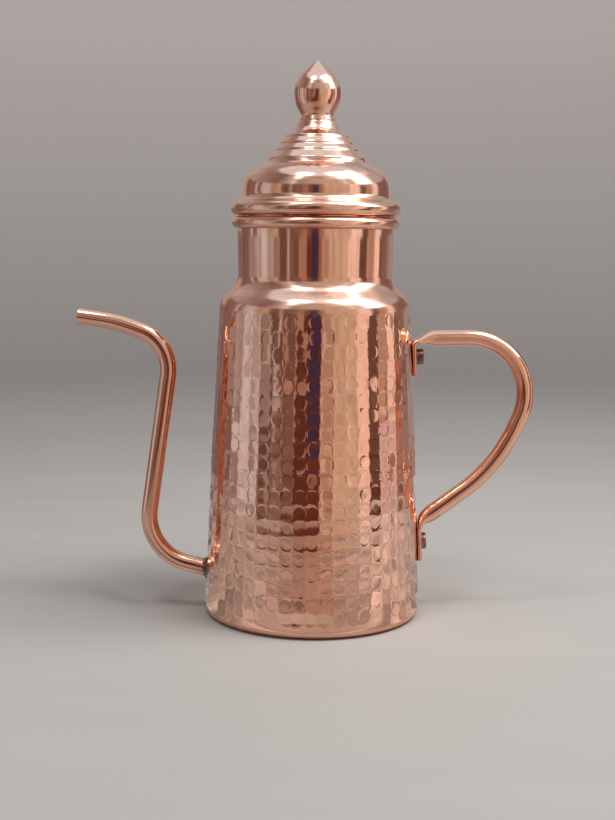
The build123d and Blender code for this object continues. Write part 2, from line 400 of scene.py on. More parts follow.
# Cloudy dulling, small specks and smears, each from 0 for clean to 1
def makeTarnish():
    inputs = {"Position": None, "Patch size": 0.03}
    tree, given, result = startGroup("tarnish", inputs, "Clouds", "Specks", "Smears")
    position = given["Position"]
    patches = calculate(tree, "DIVIDE", 1.0, given["Patch size"])
    clouds = noise(tree, position, patches, 4.0, 0.55)
    specks = noise(tree, position, calculate(tree, "MULTIPLY", patches, 22.0), 2.0, 0.6)
    scale = calculate(tree, "MULTIPLY", patches, 3.2)
    smears = stretchedNoise(tree, position, (0.2, 0.5, 0.3), (1.0, 1.0, 0.22), scale, 3.0, 0.6)
    outputs = {
        "Clouds": remap(tree, clouds, 0.38, 0.68),
        "Specks": remap(tree, specks, 0.66, 0.76),
        "Smears": remap(tree, smears, 0.45, 0.72),
    }
    feed(tree, result, outputs)
    return tree


# Hair scratches in two directions, as a height from 0 to 1
def makeScratches():
    tree, given, result = startGroup("hair scratches", {"Position": None, "Scale": 60.0}, "Height")
    heights = []
    for turn, stretch in (((0.3, 0.1, 0.7), (1.0, 14.0, 14.0)), ((0.9, 0.4, -0.5), (14.0, 1.0, 12.0))):
        lines = stretchedNoise(tree, given["Position"], turn, stretch, given["Scale"], 1.0, 0.4)
        heights.append(remap(tree, lines, 0.62, 0.70))
    feed(tree, result, {"Height": calculate(tree, "MAXIMUM", *heights)})
    return tree


# Breaks up the stains around the joints
def makeResidue():
    tree, given, result = startGroup("residue", {"Position": None, "Strength": 1.0}, "Mask")
    blotches = remap(tree, noise(tree, given["Position"], 420.0, 4.0), 0.3, 0.62, 0.35, 1.0)
    feed(tree, result, {"Mask": calculate(tree, "MULTIPLY", given["Strength"], blotches)})
    return tree


# Rough grain, as a height from 0 to 1
def makeGrain():
    tree, given, result = startGroup("rough grain", {"Position": None, "Scale": 900.0}, "Height")
    feed(tree, result, {"Height": noise(tree, given["Position"], given["Scale"], 4.0, 0.6)})
    return tree


turningLines = makeTurningLines()
tarnish = makeTarnish()
scratches = makeScratches()
residue = makeResidue()
grain = makeGrain()


def startMaterial(name):
    material = bpy.data.materials.new(name)
    material.use_nodes = True
    tree = material.node_tree
    position = addNode(tree, "TexCoord").outputs["Object"]
    return material, tree, tree.nodes["Principled BSDF"], position


# relief is the height of a metal's finest marks, and strength how strongly they show
def finishMetal(tree, shader, colour, roughness, height, relief, strength):
    normal = addNode(tree, "Bump", {"Strength": strength, "Distance": relief * mm, "Height": height}).outputs[0]
    feed(tree, shader, {"Base Color": colour, "Metallic": 1.0, "Roughness": roughness, "Normal": normal})


# Copper

copperSettings = {
    "bright": (0.900, 0.500, 0.355, 1),
    "deep": (0.800, 0.395, 0.260, 1),
    "brown": (0.200, 0.085, 0.050, 1),
    "patchSize": 0.03,  # in metres
    "deepening": 0.55,  # how much deeper the colour is where it is cloudy
    "smearing": 0.035,  # roughness that smears, specks and stains add
    "specking": 0.08,
    "staining": 0.35,
    "scratchScale": 55.0,
    "scratchDepth": -0.10,
    "relief": (0.02, 0.25),
}


# Polished copper. lines are the height of turning lines and how many go to a metre, satin is the
# roughness that buffing adds, and darkness is how far the whole is towards the deep colour
def makeCopper(name, roughness, lines=None, stained=False, satin=0.0, darkness=0.0):
    settings = copperSettings
    material, tree, shader, position = startMaterial(name)
    dull = placeGroup(tree, tarnish, {"Position": position, "Patch size": settings["patchSize"]})
    scratch = placeGroup(tree, scratches, {"Position": position, "Scale": settings["scratchScale"]})["Height"]
    share = addShare(tree, dull["Clouds"], settings["deepening"], darkness)
    colour = mixColours(tree, share, settings["bright"], settings["deep"])
    gloss = addShare(tree, dull["Smears"], settings["smearing"], roughness)
    gloss = addShare(tree, dull["Specks"], settings["specking"], gloss)
    height = calculate(tree, "MULTIPLY", scratch, settings["scratchDepth"])
    if lines:
        inputs = {"Position": position, "Lines per metre": lines[1]}
        turned = placeGroup(tree, turningLines, inputs)["Height"]
        height = addShare(tree, turned, lines[0], height)
    if stained:
        strength = addNode(tree, "Attribute", attribute_name="residue").outputs["Fac"]
        mask = placeGroup(tree, residue, {"Position": position, "Strength": strength})["Mask"]
        colour = mixColours(tree, mask, colour, settings["brown"])
        gloss = addShare(tree, mask, settings["staining"], gloss)
    if satin:
        buffed = addNode(tree, "Attribute", attribute_name="satin").outputs["Fac"]
        gloss = addShare(tree, buffed, satin, gloss)
    finishMetal(tree, shader, colour, gloss, height, *settings["relief"])
    return material


hammeredCopper = makeCopper("hammered copper", 0.055, (0.25, 1500.0), stained=True, satin=0.11)
polishedCopper = makeCopper("polished copper", 0.14, (0.6, 2200.0))
tubeCopper = makeCopper("tube copper", 0.10, stained=True, darkness=0.45)
wireCopper = makeCopper("rim wire copper", 0.22, darkness=0.3)
print("copper finishes made")


# Plain rough metal for what joins the pieces

dullSettings = {
    "patchSize": 0.004,  # in metres
    "grainScale": 900.0,
    "relief": (0.06, 0.8),
    "smearing": 0.2,  # roughness that smears add
}


def makeDullMetal(name, colour, darkColour, roughness):
    settings = dullSettings
    material, tree, shader, position = startMaterial(name)
    dull = placeGroup(tree, tarnish, {"Position": position, "Patch size": settings["patchSize"]})
    height = placeGroup(tree, grain, {"Position": position, "Scale": settings["grainScale"]})["Height"]
    colour = mixColours(tree, dull["Clouds"], colour, darkColour)
    gloss = addShare(tree, dull["Smears"], settings["smearing"], roughness)
    finishMetal(tree, shader, colour, gloss, height, *settings["relief"])
    return material


rivetMetal = makeDullMetal("browned rivet", (0.34, 0.17, 0.12, 1), (0.10, 0.05, 0.035, 1), 0.28)
solderMetal = makeDullMetal("browned solder", (0.30, 0.17, 0.12, 1), (0.07, 0.03, 0.02, 1), 0.32)
fastenerMetal = makeDullMetal("dull brass", (0.62, 0.43, 0.20, 1), (0.36, 0.23, 0.10, 1), 0.3)
print("joint finishes made")


# Hammered vessel

vesselSettings = {
    "sheet": 0.9,
    "flangeRadius": 42.0,
    # radius, height and bend of the corners from foot to rim
    "corners": [(52.05, 0, 3.8), (48.75, 80, 0), (44.95, 151.2, 10), (36.3, 158.9, 9), (36.75, 174, 250)],
    "wallEasing": 0.09,  # rounds the slight corner half way up the wall
    "neckRadius": 36.75,
    "rimCentre": (36.75, 187.2),
    "wireRadius": 1.9,
    "rimLead": 1.4,  # bend of the sheet where it leads out to the curl
    "rimWrap": 318.0,
    "struckHeights": (4.6, 146.6),
    "thinning": 4,  # one mesh line in this many goes on beyond the struck wall
    # middle, reach and strength of each stain, and heights and soft edge of each buffed band
    "stains": [((-50.8, 0, 19.6), 5.6, 1.0), ((47.1, 0, 124.0), 7.5, 0.5), ((50.6, 0, 34.5), 7.5, 0.5)],
    "buffed": [(144.0, 164.0, 4.0), (183.0, 195.0, 2.0)],
}

hammerSettings = {
    "columns": 52,
    "rows": 20,
    "lines": [-1, -0.91, -0.68, -0.36, 0, 0.36, 0.68, 0.91, 1],  # mesh lines over one mark, each way
    "topRow": 143.1,
    "rowPitch": 7.05,
    "rowSwing": (0.8, 3),  # how far the rows rise and fall, and how often on their way round
    "rowJitter": 0.16,
    "endRoom": (4.2, 2.9),  # from the struck wall's foot and top to the nearest blow's middle
    "columnShift": 0.28,
    "columnDrift": (0.35, 31.0),  # how far a column wanders sideways, and over what height
    "blowJitter": 0.12,
    "widest": 3.2,
    "tallest": 3.52,
    "margin": 0.05,  # from a mark's edge to the middle of the ridge beside it
    "missed": [0.55, 0.22, 0.05],  # share of blows missing from the first rows
    "aroundRadius": 42.0,  # radii of the dish that a blow leaves, around and up
    "upRadius": 125.0,
    "meeting": 9.6,  # square of the distance at which a dish meets the wall, around
    "bendSpread": 0.35,  # how far the dishes' bends differ
    "firstBlows": (3, 0.6, 0.5),  # in so many first rows this share leaves dishes so much tighter
    "sink": 0.004,
    "depthSpread": 0.010,
    "lean": 0.017,  # slope of a mark to one side, and up or down
    "nod": 0.004,
    "lowSkill": 1.2,  # the lowest blows lean and nod this much more
    "dent": (0.011, 0.2, 3.0),  # depth of the small dent in a mark, and a share that is deeper
    "dentPlace": 0.9,  # how far it lies from the mark's middle, and how wide it is
    "dentSize": (1.1, 1.8),
    "lip": 0.022,  # raised edge of a mark
    "footFade": 3.0,  # height over which the marks fade out at the foot
    # unevenness of the whole wall: its size, how often it comes on the way round, and its steepness
    "wobble": (0.10, (2, 3, 4, 5, 7, 9, 11), 0.09),
    "ripple": (0.006, (40, 55, 60, 70, 85), 1.2),
    "waves": 12,
    "seed": 11,
}
markLines = len(hammerSettings["lines"])
wallLines = hammerSettings["columns"] * markLines


def wallRadius(z):
    (lowRadius, lowZ), (midRadius, midZ), (topRadius, topZ) = [c[:2] for c in vesselSettings["corners"][:3]]
    low = lowRadius + (midRadius - lowRadius) * z / midZ
    high = midRadius + (topRadius - midRadius) * (z - midZ) / (topZ - midZ)
    return (low + high - np.sqrt((low - high) ** 2 + vesselSettings["wallEasing"] ** 2)) / 2


def makeVessel():
    settings = vesselSettings
    corners, (rimRadius, rimZ) = settings["corners"], settings["rimCentre"]
    lead, curl = settings["rimLead"], settings["wireRadius"]
    angle = leadAngle(rimRadius - settings["neckRadius"] + lead, lead, curl)
    neckTop = rimZ - (lead + curl) * math.sin(math.radians(angle))
    low, high = settings["struckHeights"]
    steps = hammerSettings["rows"] * markLines + 1
    lowSteps = round(steps * (corners[1][1] - low) / (high - low))
    pen = startPoint("hammeredVessel", settings["flangeRadius"], 0, perStep=12.0)
    goThrough(pen, [corners[0], (wallRadius(low), low, 0)])
    goSteps(pen, *corners[1][:2], lowSteps)
    goSteps(pen, wallRadius(high), high, steps - lowSteps)
    pen["perStep"] = 7.0
    goThrough(pen, corners[2:] + [(settings["neckRadius"], neckTop, 0)])
    goRound(pen, lead, angle)
    pen["perStep"] = 30.0
    goRound(pen, curl, -settings["rimWrap"])
    goBack(pen, settings["sheet"], perStep=20.0)
    return turnOutline(pen, wallLines)


# Unevenness of a beaten wall over angle and height
def waves(angle, z, dice, size, turns, rise):
    total = np.zeros_like(angle)
    for wave in range(hammerSettings["waves"]):
        total += np.sin(dice.choice(turns) * angle + dice.uniform(-rise, rise) * z + dice.uniform(0, 6.28))
    return total * size * 0.3  # brings the sum back to about the size of one wave


# One mark's mesh points on a unit circle: square rings of the mesh become rings of the circle
def layOutMark():
    lines = np.array(hammerSettings["lines"])
    u, v = np.meshgrid(lines, lines[::-1], indexing="ij")
    ring = np.maximum(np.abs(u), np.abs(v))
    share = ring / np.maximum(np.hypot(u, v), 1e-9)
    return u * share, v * share, ring > 0.999


# Number of the mesh line that a point is on. The first column of marks faces the camera
def lineOf(points):
    turn = np.arctan2(points[:, 0], -points[:, 1]) / (2 * math.pi)
    return (np.rint(turn * wallLines).astype(int) + markLines // 2) % wallLines


# Numbers of the struck wall's points, by mesh line round the wall and by ring from the top
def findStruck(points):
    low, high = vesselSettings["struckHeights"]
    near = 0.01
    radius, height = np.hypot(points[:, 0], points[:, 1]), points[:, 2]
    outer = radius > wallRadius(height) - vesselSettings["sheet"] / 2
    index = np.flatnonzero(outer & (height > low - near) & (height < high + near))
    order = index[np.argsort(-height[index])]
    ring = np.arange(len(order)) // wallLines
    table = np.empty((wallLines, len(order) // wallLines), int)
    table[lineOf(points[order]), ring] = order
    return table


# Middle of each blow by column and row, as an angle and a height, and the room round it
def placeBlows(dice):
    settings = hammerSettings
    low, high = vesselSettings["struckHeights"]
    lowRoom, highRoom = settings["endRoom"]
    swing, swings = settings["rowSwing"]
    drift, driftHeight = settings["columnDrift"]
    column, row = np.meshgrid(np.arange(settings["columns"]), np.arange(settings["rows"]), indexing="ij")
    turn = 2 * math.pi * column / settings["columns"]
    middle = settings["topRow"] - settings["rowPitch"] * row + swing * np.sin(swings * turn)
    middle = np.clip(middle + dice.normal(0, settings["rowJitter"], row.shape), low + lowRoom, high - highRoom)
    shift = dice.normal(0, settings["columnShift"], (len(row), 1))
    shift = shift + drift * np.sin(middle / driftHeight + dice.uniform(0, 6.28, (len(row), 1)))
    radius = wallRadius(middle)
    turn = turn + (shift + dice.normal(0, settings["blowJitter"], row.shape)) / radius
    toNext = (np.roll(turn, -1, 0) - turn) % (2 * math.pi) * radius / 2
    toBelow = np.diff(-middle, axis=1, append=-low) / 2
    toAbove = np.concatenate([high - middle[:, :1], toBelow[:, :-1]], 1)
    margin, widest, tallest = settings["margin"], settings["widest"], settings["tallest"]
    reach = {
        "right": np.minimum(toNext - margin, widest),
        "left": np.minimum(np.roll(toNext, 1, 0) - margin, widest),
        "up": np.minimum(toAbove - margin, tallest),
        "down": np.minimum(toBelow - margin, tallest),
    }
    return turn, middle, reach


# How far each mark's points stand out from the wall, by column, row and place in the mark
def shapeMarks(dice, u, v, isEdge):
    settings = hammerSettings
    shape = (*u.shape[:2], 1, 1)
    row = np.arange(shape[1])[None, :, None, None]
    firstRows, firstShare, tighter = settings["firstBlows"]
    bend = 1 + dice.uniform(-1, 1, shape) * settings["bendSpread"]
    bend *= np.where((row < firstRows) & (dice.random(shape) < firstShare), tighter, 1.0)
    marks = (u**2 - settings["meeting"]) / (2 * settings["aroundRadius"] * bend)
    marks = marks + v**2 / (2 * settings["upRadius"])
    marks -= settings["sink"] + np.abs(dice.normal(0, settings["depthSpread"], shape))
    worse = 1 + settings["lowSkill"] * row / shape[1]
    marks += (dice.normal(0, settings["lean"], shape) * u - dice.normal(0, settings["nod"], shape) * v) * worse
    depth, deepShare, deeper = settings["dent"]
    dent = dice.normal(0, depth, shape) * np.where(dice.random(shape) < deepShare, deeper, 1.0)
    place = settings["dentPlace"]
    fromDent = np.hypot(u - dice.normal(0, place, shape), v - dice.normal(0, place, shape))
    marks += dent * np.exp(-((fromDent / dice.uniform(*settings["dentSize"], shape)) ** 2))
    marks += settings["lip"] * isEdge
    missed = np.zeros(shape[1])
    missed[: len(settings["missed"])] = settings["missed"]
    return marks * (dice.random(shape) >= missed[None, :, None, None])


# Presses rows of shallow round dishes into the wall, each with its own mesh rings
def pressBlows(piece):
    settings = hammerSettings
    dice = np.random.default_rng(settings["seed"])
    points = readPoints(piece)
    table = findStruck(points)
    turn, middle, reach = placeBlows(dice)
    unitU, unitV, isEdge = layOutMark()
    room = {side: size[..., None, None] for side, size in reach.items()}
    u = unitU * np.where(unitU > 0, room["right"], room["left"])
    v = unitV * np.where(unitV > 0, room["up"], room["down"])
    out = shapeMarks(dice, u, v, isEdge)
    turn, middle = turn[..., None, None], middle[..., None, None]
    angle, height = turn + u / wallRadius(middle), middle + v
    out += waves(angle, height, dice, *settings["wobble"])
    out += waves(angle, height, dice, *settings["ripple"])
    out *= np.clip((height - vesselSettings["struckHeights"][0]) / settings["footFade"], 0, 1)
    radius = wallRadius(height) + out
    marks = table[:, 1:-1].reshape(settings["columns"], markLines, settings["rows"], markLines)
    places = np.stack([radius * np.sin(angle), -radius * np.cos(angle), height], -1)
    points[marks.transpose(0, 2, 1, 3)] = places
    writePoints(piece, points)
    return table


# Takes out most of the mesh lines beyond the struck wall
def thinOut(piece, table):
    mesh = piece.data
    line = lineOf(readPoints(piece))
    line[table] = np.arange(len(table))[:, None]
    struck = np.zeros(len(mesh.vertices), bool)
    struck[table] = True
    ends = np.empty(len(mesh.edges) * 2, int)
    mesh.edges.foreach_get("vertices", ends)
    ends = ends.reshape(-1, 2)
    lengthwise = (line[ends[:, 0]] == line[ends[:, 1]]) & ~(struck[ends].all(1))
    pick(piece)
    startEdit("DESELECT")
    bpy.ops.mesh.select_mode(type="EDGE")
    bpy.ops.object.mode_set(mode="OBJECT")
    mesh.edges.foreach_set("select", lengthwise & (line[ends[:, 0]] % vesselSettings["thinning"] != 0))
    bpy.ops.object.mode_set(mode="EDIT")
    bpy.ops.mesh.dissolve_edges(use_verts=True)
    bpy.ops.mesh.select_mode(type="VERT")
    bpy.ops.object.mode_set(mode="OBJECT")


hammeredVessel = makeVessel()
struckTable = pressBlows(hammeredVessel)
thinOut(hammeredVessel, struckTable)
stain(hammeredVessel, vesselSettings["stains"])
buff(hammeredVessel, vesselSettings["buffed"])
handOver(hammeredVessel, "vessel", ["vessel_shell"], hammeredCopper, 50.0)
print("vessel hammered:", sum(len(face.vertices) - 2 for face in hammeredVessel.data.polygons), "triangles")


# Lid

lidSettings = {
    "sheet": 0.8,
    "holeRadius": 1.6,
    "crown": (8.9, 234.3, 0.9),
    "flare": (10.7, 229.95, 8.0),
    "ribFronts": [14.95, 17.05, 19.5, 22.9],
    "ribTops": [227.4, 224.2, 221.1, 217.0],
    "ribFeet": [226.4, 223.2, 220.1, 216.0],
    "ribLean": 0.25,  # a front's foot stands this much further out than its crest
    "crestBend": 1.3,
    "footBend": 1.0,
    "domeStart": (23.75, 214.65, 0.6),
    "domeCorner": (34.6, 209.8, 11.8),
    "rimCentre": (36.75, 193.7),
    "rimRadius": 3.3,
    "rimLead": 4.0,
    "rimWrap": 222.0,
    "segments": 288,
}

sleeveSettings = {
    "bottom": (33.45, 177.0),
    "top": (33.78, 202.0),
    "sheet": 0.8,
    "segments": 192,
}


def makeLidDome():
    settings = lidSettings
    domeRadius, (rimRadius, rimZ) = settings["domeCorner"][0], settings["rimCentre"]
    lead, curl = settings["rimLead"], settings["rimRadius"]
    angle = leadAngle(domeRadius + lead - rimRadius, lead, curl)
    domeFoot = rimZ + (lead + curl) * math.sin(math.radians(angle))
    corners = [settings["crown"], settings["flare"]]
    for front, top, foot in zip(settings["ribFronts"], settings["ribTops"], settings["ribFeet"]):
        corners.append((front, top, settings["crestBend"]))
        corners.append((front + settings["ribLean"], foot, settings["footBend"]))
    corners += [settings["domeStart"], settings["domeCorner"], (domeRadius, domeFoot, 0)]
    pen = startPoint("lidDome", settings["holeRadius"], settings["crown"][1], perStep=9.0)
    goThrough(pen, corners)
    goRound(pen, lead, angle)
    goRound(pen, curl, -settings["rimWrap"])
    goBack(pen, -settings["sheet"], perStep=18.0)
    return turnOutline(pen, settings["segments"])


def makeLidSleeve():
    settings = sleeveSettings
    pen = startPoint("lidSleeve", *settings["bottom"])
    goThrough(pen, [(*settings["top"], 0)])
    goBack(pen, settings["sheet"], perStep=30.0)
    return turnOutline(pen, settings["segments"])


lidDome = makeLidDome()
handOver(lidDome, "lid", ["lid_dome"], polishedCopper)
lidSleeve = makeLidSleeve()
handOver(lidSleeve, "lid", ["lid_sleeve"], polishedCopper)
print("lid spun")


# Finial

knobSettings = {
    "socket": (1.5, 243.3),
    "foot": (8.5, 234.3, 0.3),
    "throat": (7.6, 236.8, 1.5),
    "ballStart": (8.5, 238.7),
    "ballSide": (11.05, 247.1),  # radius and height where it is widest
    "lowerBend": 13.8,
    "upperBend": 12.0,
    "upperAngle": 48.0,
    "tipBend": 1.2,
    "segments": 160,
}


def makeKnob():
    settings = knobSettings
    socketRadius, socketTop = settings["socket"]
    startX, startZ = settings["ballStart"]
    sideX, sideZ = settings["ballSide"]
    pen = startPoint("knob", 0, socketTop, perStep=6.0)
    goThrough(pen, [(socketRadius, socketTop, 0), (socketRadius, settings["foot"][1], 0)])
    goThrough(pen, [settings["foot"], settings["throat"], (startX, startZ, 0)])
    chord = math.hypot(sideX - startX, sideZ - startZ)
    half = math.degrees(math.asin(chord / 2 / settings["lowerBend"]))
    pen["heading"] = headingTo(sideX, sideZ, startX, startZ) - half
    goRound(pen, settings["lowerBend"], 2 * half)
    pen["heading"] = 90.0
    goRound(pen, settings["upperBend"], settings["upperAngle"])
    tipAngle = 90 - settings["upperAngle"]
    run = pen["x"] - settings["tipBend"] * math.sin(math.radians(tipAngle))
    goStraight(pen, run / math.sin(math.radians(settings["upperAngle"])))
    goRound(pen, settings["tipBend"], tipAngle)
    return turnOutline(pen, settings["segments"])


knob = makeKnob()
handOver(knob, "lid", ["finial"], polishedCopper)
print("knob turned")


# Spout

spoutSettings = {
    "root": (-48.5, 19.46),
    "corners": [(-81.86, 27.47, 24.0), (-67.66, 130.2, 19.6), (-95.3, 140.04, 70.0), (-112.52, 142.3, 0)],
    "radius": 4.0,
    "wall": 0.8,
    "sides": 48,
    "stains": [((-53.5, 0, 20.6), 4.2, 1.0)],
}


def makeSpout():
    settings = spoutSettings
    root = settings["root"]
    heading = headingTo(*settings["corners"][0][:2], *root)
    pen = startRing("spoutPipe", *root, heading, settings["radius"], settings["sides"], 3.0, 3.0)
    goThrough(pen, settings["corners"])
    endEdit()
    piece = pen["piece"]
    pick(piece)
    wall = piece.modifiers.new("wall", "SOLIDIFY")
    wall.thickness = settings["wall"] * mm
    wall.offset = -1.0
    bpy.ops.object.modifier_apply(modifier="wall")
    return piece


spoutPipe = makeSpout()
stain(spoutPipe, spoutSettings["stains"])
handOver(spoutPipe, "vessel", ["spout_tube"], tubeCopper, 40.0)
print("spout bent")


# Handle

handleSettings = {
    "corners": [(53.0, 133.45, 24.0), (115.4, 135.0, 27.3), (88.8, 72.0, 78.0)],
    "radius": 4.0,
    "sides": 48,
    "flatWidth": 11.6,
    "flatThickness": 2.1,
    "rivetHeights": (124.4, 34.8),
    "upperTab": (-8.6, 7.0, 2.6),  # end and fold along the wall from the rivet, and the fold's bend
    "lowerTab": (-8.8, 9.1, 8.0),
    "flatRuns": (17.0, 16.5),
    "pinchRun": 9.5,
    "seatGap": 0.02,
    "stains": [((49.6, 0, 124.4), 5.5, 0.8), ((53.2, 0, 34.8), 5.8, 0.8)],
}


# How much the wall leans in for each millimetre up
def wallSlope(z):
    return wallRadius(z) - wallRadius(z + 1)


# A point at a height on the wall facing the handle, moved up along the wall and out from it
def onWall(z, up, out):
    slope = wallSlope(z)
    size = math.hypot(1, slope)
    return (wallRadius(z) + (out - up * slope) / size, z + (up + out * slope) / size)


# Points of a pressed tube's section for angles round it: a circle, a flat with round ends, or between
def pressedPoints(turn, press):
    radius, width, thickness = [handleSettings[name] for name in ("radius", "flatWidth", "flatThickness")]
    halfFlat, endRadius = (width - thickness) / 2, thickness / 2
    rightAngle = np.pi / 2
    quarter = halfFlat + endRadius * rightAngle
    turn = turn % (4 * rightAngle)
    quadrant = np.floor(turn / rightAngle)
    fromSide = np.where(quadrant % 2 == 0, turn - quadrant * rightAngle, (quadrant + 1) * rightAngle - turn)
    length = fromSide / rightAngle * quarter
    bend = np.clip(length / endRadius, 0, rightAngle)
    across = halfFlat + endRadius * np.cos(bend) - np.clip(length - endRadius * rightAngle, 0, None)
    across *= np.where((quadrant == 0) | (quadrant == 3), 1, -1)
    up = endRadius * np.sin(bend) * np.where(quadrant < 2, 1, -1)
    circle = np.stack([radius * np.cos(turn), radius * np.sin(turn)], -1)
    return circle + press * (np.stack([across, up], -1) - circle)


# Presses a round tube's ends flat, ring by ring
def pressEnds(piece, rings):
    settings = handleSettings
    (firstFlat, lastFlat), pinch = settings["flatRuns"], settings["pinchRun"]
    places, heading = rings[:, :2], np.radians(rings[:, 2])
    run = np.concatenate([[0], np.cumsum(np.hypot(*np.diff(places, axis=0).T))])
    near, beyond, aside = 0.004, 0.01, 1000
    points = readPoints(piece)
    for place, angle, length in zip(places, heading, run):
        along, left = np.array([np.cos(angle), np.sin(angle)]), np.array([-np.sin(angle), np.cos(angle)])
        offset = points[:, [0, 2]] - place
        side = offset @ left
        mine = (np.abs(offset @ along) < near) & (np.hypot(side, points[:, 1]) < settings["radius"] + beyond)
        fromEnd = min((length - firstFlat) / pinch, (run[-1] - length - lastFlat) / pinch)
        press = (1 - min(max(fromEnd, 0), 1)) ** 2
        pressed = pressedPoints(np.arctan2(side[mine], points[mine, 1]), press)
        points[mine, 1] = pressed[:, 0] + aside  # keeps a finished ring from being met again
        points[np.ix_(mine, [0, 2])] = place + pressed[:, 1:] * left
    points[:, 1] -= aside
    writePoints(piece, points)


def makeHandle():
    settings = handleSettings
    upper, lower = settings["rivetHeights"]
    out = settings["flatThickness"] / 2 + settings["seatGap"]
    upperEnd, upperFold, upperBend = settings["upperTab"]
    lowerEnd, lowerFold, lowerBend = settings["lowerTab"]
    start, fold = onWall(upper, upperEnd, out), onWall(upper, upperFold, out)
    heading = headingTo(*fold, *start)
    pen = startRing("handlePipe", *start, heading, settings["radius"], settings["sides"], 5.0, 1.6)
    corners = [(*fold, upperBend), *settings["corners"]]
    corners += [(*onWall(lower, lowerFold, out), lowerBend), (*onWall(lower, lowerEnd, out), 0)]
    goThrough(pen, corners)
    bpy.ops.object.mode_set(mode="OBJECT")
    pressEnds(pen["piece"], np.array(pen["rings"]))
    startEdit("DESELECT")
    bpy.ops.mesh.select_non_manifold()
    bpy.ops.mesh.edge_face_add()
    endEdit()
    return pen["piece"]


handlePipe = makeHandle()
stain(handlePipe, handleSettings["stains"])
handOver(handlePipe, "vessel", ["handle_tube"], tubeCopper, 50.0)
print("handle bent and pressed")


# Solder where the spout meets the wall

solderSettings = {
    "run": 2.3,  # how far it creeps along the tube
    "spread": 1.7,  # and out over the wall
    "hollow": 0.62,  # how near its face comes to the corner
    "swell": 0.05,
    "unevenness": 0.22,
    "waves": 6,
    "sides": 72,
    "profileSteps": 8,
    "sink": 0.25,  # it starts this deep inside the tube and the wall
    "seed": 5,
}


# The places where lines from some points meet the wall, found by halving
def meetWall(points, direction):
    near, far = np.full((len(points), 1), -12.0), np.full((len(points), 1), 14.0)
    for halving in range(40):
        middle = (near + far) / 2
        places = points + middle * direction
        outside = (np.hypot(places[:, 0], places[:, 1]) > wallRadius(places[:, 2]))[:, None]
        near, far = np.where(outside, near, middle), np.where(outside, middle, far)
    return points + near * direction


def makeSolder():
    settings = solderSettings
    steps, sink = settings["profileSteps"], settings["sink"]
    hollow, radius = settings["hollow"], spoutSettings["radius"]
    dice = random.Random(settings["seed"])
    rootX, rootZ = spoutSettings["root"]
    firstX, firstZ = spoutSettings["corners"][0][:2]
    root = np.array([rootX, 0.0, rootZ])
    direction = np.array([firstX - rootX, 0, firstZ - rootZ])
    direction /= np.linalg.norm(direction)
    sideways = np.array([0.0, 1.0, 0.0])
    upward = np.cross(sideways, direction)
    piece = addCircle("spoutSolderRing", radius, settings["sides"])
    startEdit()
    for step in range(steps + 1):
        bpy.ops.mesh.extrude_region_move(TRANSFORM_OT_translate={"value": (0, 0, -mm)})
    bpy.ops.object.mode_set(mode="OBJECT")
    points = readPoints(piece)
    level = np.rint(-points[:, 2:])
    turn = np.arctan2(points[:, 1:2], points[:, :1])
    rough = np.zeros_like(turn)
    for wave in range(settings["waves"]):
        count, phase = dice.choice((2, 3, 5, 7, 11)), dice.uniform(0, 6.28)
        rough += dice.uniform(0.3, 1) * np.sin(count * turn + phase)
    rough = 1 + settings["unevenness"] * rough / 2
    outward = np.cos(turn) * sideways + np.sin(turn) * upward
    corner = meetWall(root + radius * outward, direction)
    onTube = corner + settings["run"] * rough * direction
    beside = meetWall(root + (radius + settings["spread"] * rough) * outward, direction)
    pull = hollow * corner + (1 - hollow) / 2 * (onTube + beside)
    share = level / steps
    places = (1 - share) ** 2 * onTube + 2 * share * (1 - share) * pull + share**2 * beside
    places += settings["swell"] * rough * np.sin(share * math.pi) * direction
    places -= (level == 0) * sink * outward + (level == steps) * sink * direction
    hidden = corner - 3 * sink * direction - sink * outward
    writePoints(piece, np.where(level > steps, hidden, places))
    startEdit("DESELECT")
    bpy.ops.mesh.select_non_manifold()
    bpy.ops.mesh.bridge_edge_loops()
    endEdit()
    return piece


solderRing = makeSolder()
handOver(solderRing, "vessel", ["spout_solder"], solderMetal, 60.0)
print("spout soldered")


# Rivets

rivetSettings = {
    "shankRadius": 1.8,
    "tailRadius": 3.2,
    "tailHeight": 1.3,
    "burrRadius": 4.4,
    "burrThickness": 0.9,
    "upperHead": (3.8, 3.6),
    "lowerHead": (4.1, 2.3),
    "headEdge": 0.5,
    "segments": 56,
    "waves": 7,
    "twist": 1.4,
    "dentStart": 0.3,  # the dents start so far out from the seat
    "topDents": 0.10,
    "sideDents": 0.035,
}


# Distance from the wall in to the ring that the rivet's tail is peened over
def burrSeat(height):
    inner = wallRadius(height) - vesselSettings["sheet"]
    hollow = inner - math.sqrt(inner**2 - rivetSettings["burrRadius"] ** 2)
    return vesselSettings["sheet"] + hollow + handleSettings["seatGap"]


# Dents a head unevenly, most at its edge. The dents turn as they go down its side
def dentHead(piece, seat, headRadius, dice):
    settings = rivetSettings
    points = readPoints(piece)
    turn = np.arctan2(points[:, 1], points[:, 0])
    share = np.hypot(points[:, 0], points[:, 1]) / headRadius
    uneven = np.zeros(len(points))
    for wave in range(settings["waves"]):
        place = dice.choice((1, 2, 3, 4, 5, 7)) * turn + settings["twist"] * points[:, 2]
        uneven += dice.uniform(-1, 1) * np.sin(place + dice.uniform(0, 6.28))
    onHead = points[:, 2] > seat + settings["dentStart"]
    depth = np.clip(points[:, 2] - seat, 0, 1) * share**2 * (0.8 + 0.5 * uneven)
    points[:, 2] -= settings["topDents"] * onHead * depth
    points[:, :2] *= (1 - settings["sideDents"] * onHead * np.abs(uneven))[:, None]
    writePoints(piece, points)


